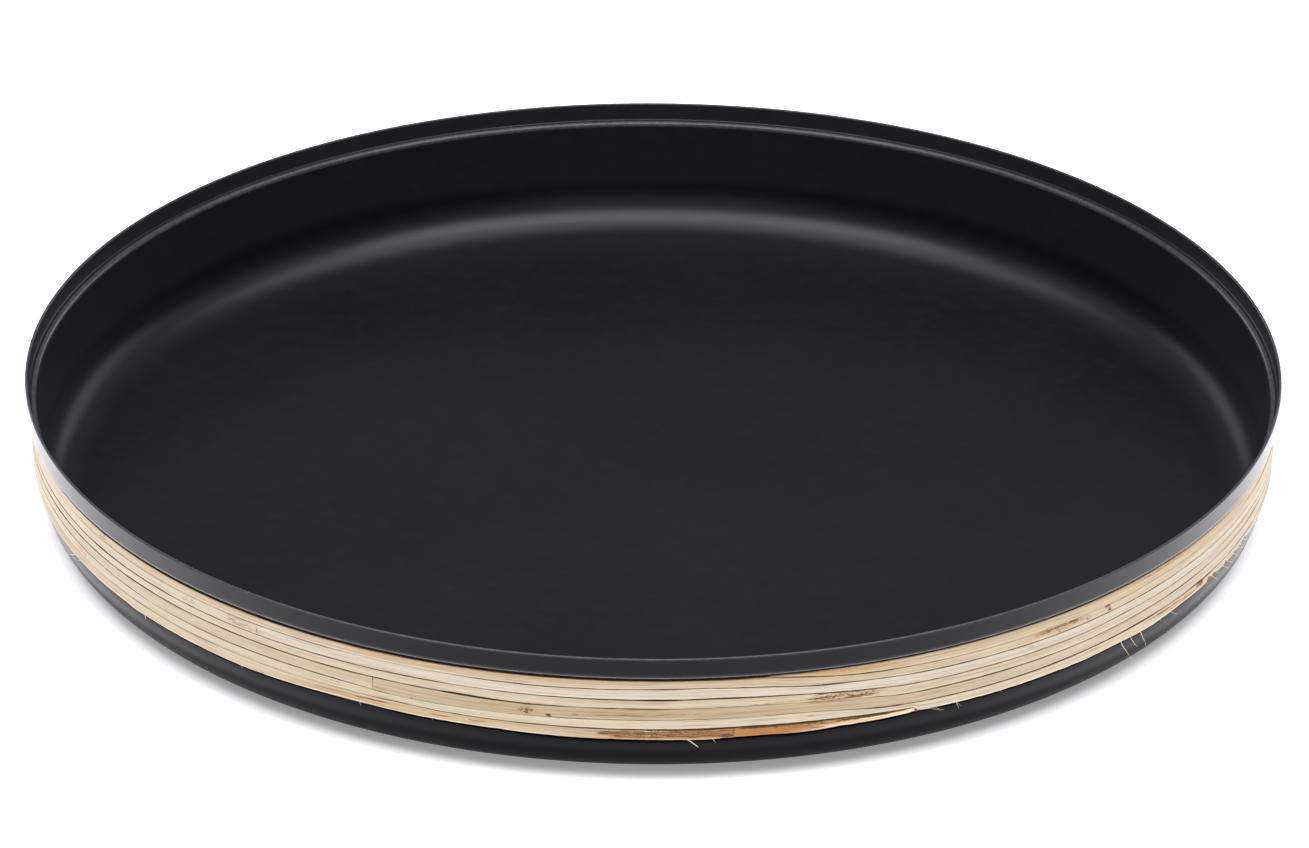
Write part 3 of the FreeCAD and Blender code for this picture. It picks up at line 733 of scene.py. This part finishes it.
    # Base colour, drifting a little along the strip.
    cream = np.array(CREAM[index])[None, None, :] * np.array([0.682, 0.690, 0.690])
    drift = 1.0 + 0.035 * wave(S / 31.0, 131 + index)[..., None] * np.array([1.0, 1.25, 1.7])
    tint = np.repeat(np.repeat(cream, n, 0), m, 1) * drift
    phi = (JOG + S) % 360.0
    # Painted highlight: the lowest turn's bottom edge is paler, as if lit from below, with less of it near the front
    # around 278 degrees.
    painted_edge_highlight = np.where(s >= 1816.0, 1.0, 0.0)[:, None] * (1 - smooth(0.12, 0.55, (1 - V) * width[:, None]))
    away = np.abs((phi + 180.0) % 360.0 - 180.0 + 82.0)
    painted_edge_highlight = painted_edge_highlight * (0.25 + 0.75 * smooth(12.0, 17.0, away))
    tint = tint * (1 + 0.60 * painted_edge_highlight[..., None] * np.array([1.0, 1.06, 1.2]))
    if index == 6:  # this strip is tan where it starts and paler further on
        pale = smooth(1442.0, 1475.0, S)[..., None]
        tint = tint * (1 - pale) + tint * np.array([1.17, 1.27, 1.42]) * pale
    if index == len(ENDS) - 2:  # the last strip turns from orange to cream towards its end, from its lower edge up
        pale = smooth(2163.5, 2170.5, S + 6.0 * (V - 0.35))[..., None]
        tint = tint * (1 - pale) + np.array(srgb(222, 206, 178)) * pale
    mark = np.zeros((n, m, 3))
    pink = np.zeros((n, m))
    for kind, at, dd, hl, hh, strength, *only in MARKS:
        if only and only[0] != index + 1 or at < s0 - 40 or at > s1 + 40:
            continue
        q = np.sqrt(((S - at) * PX / hl) ** 2 + ((depth - dd) / hh) ** 2)
        w = strength * (1 - smooth(0.45, 1.15, q))
        if kind == "pink":
            pink = np.maximum(pink, w)
        else:
            c = {"stain": 0, "gold": 1, "scribble": 2}[kind]
            mark[..., c] = np.maximum(mark[..., c], w)
    tint = tint * (1 - pink[..., None]) + tint * np.array([1.0, 0.72, 0.68]) * pink[..., None]
    for at, height, brown in NODES:
        d = np.abs((S - at) * PX)
        mark[..., 2] = np.maximum(mark[..., 2], brown * 0.75 * np.exp(-((d / 1.1) ** 2)))
        mark[..., 1] = np.maximum(mark[..., 1], brown * 0.35 * np.exp(-((d / 5.0) ** 2)))
    attr_color(ob, "tint", tint.reshape(-1, 3))
    attr_color(ob, "marks", mark.reshape(-1, 3))
    attr_float(ob, "edge", EDGE_D.ravel())
    ob.data.materials.append(BAMBOO)
    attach(ob, "root")
    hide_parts("bamboo_strip_%02d" % (index + 1))
    return ob


strips = [build_strip(i) for i in range(len(ENDS) - 1)]


# ------------------------------------------------------------------ loose fibres along the lowest edge
def face_point(phi, depth, out):
    """A point in front of the band's or the pan's surface, in metres. Below the band it hangs from the band's face."""
    z = RIM_H - depth
    r = WALL_0 + SLOPE * max(z, 15.5) + FILM + 1.0 + out
    a = math.radians(phi)
    return np.array([r * math.cos(a), r * math.sin(a), z]) * 0.001


def hair(verts, faces, strip_at, path, r0, r1, seed):
    """Adds a closed, tapering five-sided fibre along a path of points in metres."""
    path = np.array(path)
    n, sides = len(path), 5
    base = len(verts)
    total = 0.0
    for k in range(n):
        t = path[min(k + 1, n - 1)] - path[max(k - 1, 0)]
        t = t / np.linalg.norm(t)
        side = np.cross(t, [0.3, 0.2, 0.9])
        side = side / np.linalg.norm(side)
        up = np.cross(t, side)
        r = (r0 + (r1 - r0) * k / (n - 1)) * 0.001
        if k:
            total += float(np.linalg.norm(path[k] - path[k - 1]))
        for j in range(sides):
            a = 2 * math.pi * j / sides
            verts.append(path[k] + r * (math.cos(a) * side + math.sin(a) * up))
            strip_at.append((total + seed, 0.0001 * j, seed))
    for k in range(n - 1):
        for j in range(sides):
            p, q = base + k * sides + j, base + k * sides + (j + 1) % sides
            faces.append((p, q, q + sides, p + sides))
    faces.append(tuple(base + j for j in reversed(range(sides))))
    faces.append(tuple(base + (n - 1) * sides + j for j in range(sides)))


def build_fibres():
    """(angle, mm below the rim) from root to tip, curl in mm, thickness in mm, how far the tip stands off in mm."""
    hairs = [
        (272.2, 25.9, 272.9, 27.7, 0.05, 0.06, 0.3), (272.9, 29.3, 274.0, 31.9, 0.1, 0.19, 1.0), (275.2, 29.6, 275.5, 30.9, 0.1, 0.07, 0.4),
        (294.6, 28.6, 295.9, 30.0, 0.8, 0.06, 0.8), (295.3, 28.5, 296.2, 29.9, -0.5, 0.06, 0.6), (297.4, 28.4, 297.6, 30.7, 0.3, 0.07, 0.6),
        (297.6, 28.6, 298.0, 30.3, -0.4, 0.05, 0.4), (301.9, 28.5, 302.1, 29.4, 0.1, 0.05, 0.3),
        (316.2, 28.3, 317.8, 37.7, -0.6, 0.11, 1.2), (317.6, 28.4, 318.3, 33.0, -0.8, 0.09, 0.9), (318.8, 28.4, 319.4, 34.3, 0.4, 0.10, 1.0),
        (323.4, 28.0, 324.4, 30.6, -0.3, 0.07, 0.5), (321.7, 28.4, 321.9, 29.5, 0.2, 0.05, 0.3),
        (204.7, 28.7, 202.0, 32.6, 0.9, 0.11, 0.9), (206.2, 28.6, 205.0, 29.8, 0.3, 0.05, 0.4), (218.2, 28.9, 218.5, 29.8, 0.1, 0.10, 0.2),
        (243.6, 28.2, 243.9, 29.6, 0.3, 0.05, 0.4), (250.6, 28.5, 250.7, 29.5, 0.1, 0.05, 0.2), (231.0, 28.9, 231.3, 29.6, 0.1, 0.05, 0.2),
        (331.0, 27.2, 332.0, 30.2, -0.3, 0.08, 0.8), (331.8, 27.4, 332.6, 29.4, 0.3, 0.06, 0.4), (333.0, 27.2, 334.4, 30.3, 0.4, 0.08, 0.9),
        (334.2, 27.3, 335.4, 29.6, -0.2, 0.07, 0.5), (335.9, 27.4, 336.8, 29.9, 0.2, 0.07, 0.7), (337.2, 27.5, 338.4, 29.4, -0.3, 0.06, 0.6),
        (338.8, 27.3, 340.2, 30.2, 0.4, 0.08, 0.9), (340.4, 27.4, 341.3, 29.2, 0.1, 0.06, 0.4), (342.0, 27.5, 343.2, 29.8, -0.3, 0.07, 0.6),
    ]
    for k in range(46):
        phi = 352.0 + 208.0 * (0.5 + 0.5 * float(hashed([k], 201)[0]))
        long = 0.5 + 0.5 * float(hashed([k], 202)[0])
        reach = 0.7 + 2.6 * long ** 3
        lean = 0.35 * float(hashed([k], 203)[0])
        hairs.append((phi, 28.0, phi + lean * reach, 28.9 + reach, 0.5 * float(hashed([k], 204)[0]), 0.045 + 0.03 * long, 0.2 + 0.5 * long))
    verts, faces, at = [], [], []
    for k, (p0, d0, p1, d1, curl, thick, off) in enumerate(hairs):
        path = []
        for t in np.linspace(0, 1, 9):
            phi = p0 + (p1 - p0) * t + curl / PX * math.sin(math.pi * t) + 0.25 * curl / PX * math.sin(3 * math.pi * t)
            depth = d0 + (d1 - d0) * t
            path.append(face_point(phi, depth, -0.25 + (off + 0.25) * t ** 1.3))
        hair(verts, faces, at, path, thick, thick * 0.4, 20.0 + 0.37 * k)
    ob = new_mesh("loose_fibres", verts, faces)
    attr_vector(ob, "strip", at)
    n = len(verts)
    attr_color(ob, "tint", np.tile(np.array([srgb(232, 224, 204)]), (n, 1)))
    attr_color(ob, "marks", np.zeros((n, 3)))
    attr_float(ob, "edge", np.full(n, 1.0))
    ob.data.materials.append(BAMBOO)
    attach(ob, "root")
    return ob


fibres = build_fibres()


# ------------------------------------------------------------------ floor
def build_floor():
    n, size = 24, 7.0
    g = np.linspace(-size, size, n + 1)
    verts = [(x, y, 0.0) for y in g for x in g]
    faces = [(j * (n + 1) + i, j * (n + 1) + i + 1, (j + 1) * (n + 1) + i + 1, (j + 1) * (n + 1) + i) for j in range(n) for i in range(n)]
    ob = new_mesh("floor", verts, faces)
    ob.data.materials.append(FLOOR)
    return ob


floor = build_floor()


# ------------------------------------------------------------------ light
def softbox(name, place, target, width, height, power, colour=(1, 1, 1)):
    light = bpy.data.lights.new(name, "AREA")
    light.shape = "RECTANGLE"
    light.size, light.size_y = width, height
    light.energy = power
    light.color = colour
    ob = bpy.data.objects.new(name, light)
    scene.collection.objects.link(ob)
    place, target = Vector(place), Vector(target)
    ob.location = place
    ob.rotation_euler = (target - place).to_track_quat("-Z", "Y").to_euler()
    return ob


softbox("overhead", (0.0, -0.34, 1.55), (0.0, 0.0, 0.0), 2.3, 0.85, 50.0, (1.0, 0.985, 1.05))
softbox("overhead_back", (0.0, 0.50, 1.60), (0.0, 0.0, 0.0), 2.6, 0.7, 20.0, (1.0, 0.985, 1.05))
softbox("overhead_front", (0.0, -1.00, 1.42), (0.0, 0.0, 0.0), 2.6, 0.5, 6.0, (1.0, 0.985, 1.05))
softbox("front", (0.0, -2.4, 0.9), (0.0, 0.0, 0.0), 2.8, 1.0, 6.0)
for side in (-1.0, 1.0):
    softbox("side_high_%d" % side, (2.2 * side, 0.3, 1.8), (0.0, 0.0, 0.0), 1.6, 1.4, 5.0)
    softbox("side_back_%d" % side, (1.5 * side, 1.6, 0.45), (0.0, 0.0, 0.0), 1.4, 0.8, 9.5)

world = bpy.data.worlds.new("studio")
scene.world = world
world.use_nodes = True
wt = world.node_tree
wt.nodes.clear()
coord = wt.nodes.new("ShaderNodeTexCoord")
sepw = wt.nodes.new("ShaderNodeSeparateXYZ")
wt.links.new(coord.outputs["Generated"], sepw.inputs[0])
rise = wt.nodes.new("ShaderNodeValToRGB")
rise.color_ramp.interpolation = "EASE"
stops = [(0.0, 0.06), (0.2, 0.11), (0.42, 0.25), (0.62, 0.10), (1.0, 0.06)]
while len(rise.color_ramp.elements) < len(stops):
    rise.color_ramp.elements.new(0.5)
for stop, (place, level) in zip(rise.color_ramp.elements, stops):
    stop.position = place
    stop.color = (level, level, level, 1.0)
wt.links.new(sepw.outputs[2], rise.inputs[0])
seen = wt.nodes.new("ShaderNodeLightPath")
pick = wt.nodes.new("ShaderNodeMix")
pick.data_type = "FLOAT"
wt.links.new(seen.outputs["Is Camera Ray"], pick.inputs[0])
wt.links.new(rise.outputs[0], pick.inputs[2])
pick.inputs[3].default_value = 0.92
back = wt.nodes.new("ShaderNodeBackground")
back.inputs["Color"].default_value = (1.0, 1.0, 1.0, 1.0)
wt.links.new(pick.outputs[0], back.inputs["Strength"])
outw = wt.nodes.new("ShaderNodeOutputWorld")
wt.links.new(back.outputs[0], outw.inputs["Surface"])

# ------------------------------------------------------------------ camera
FOCAL_PX, WIDE, TALL = 7526.0, 1309.0, 848.0
ELEVATION, FAR, ROLL = math.radians(26.22), 2.520, math.radians(0.26)
centre = Vector((0.0, 0.0, RIM_H * 0.001))
fwd = Vector((0.0, math.cos(ELEVATION), -math.sin(ELEVATION)))
right = Vector((1.0, 0.0, 0.0))
up = right.cross(fwd)
down = math.atan(63.59 / FOCAL_PX)
turn_right = math.atan(1.49 / FOCAL_PX)
new_fwd = (fwd * math.cos(down) - up * math.sin(down)).normalized()
new_fwd = (new_fwd + right * math.tan(turn_right)).normalized()
new_up = (up - new_fwd * up.dot(new_fwd)).normalized()
new_right = new_fwd.cross(new_up)
cam_right = new_right * math.cos(ROLL) + new_up * math.sin(ROLL)
cam_up = new_up * math.cos(ROLL) - new_right * math.sin(ROLL)
cam = bpy.data.cameras.new("camera")
cam.sensor_fit = "HORIZONTAL"
cam.sensor_width = 36.0
cam.lens = FOCAL_PX / WIDE * 36.0
cam.clip_start, cam.clip_end = 0.05, 60.0
cam_ob = bpy.data.objects.new("camera", cam)
scene.collection.objects.link(cam_ob)
rot = Matrix((cam_right, cam_up, -new_fwd)).transposed()
cam_ob.matrix_world = Matrix.Translation(centre - fwd * FAR) @ rot.to_4x4()
scene.camera = cam_ob

scene.view_settings.view_transform = "Standard"
scene.view_settings.look = "None"
scene.view_settings.exposure = 0.0
scene.view_settings.gamma = 1.0
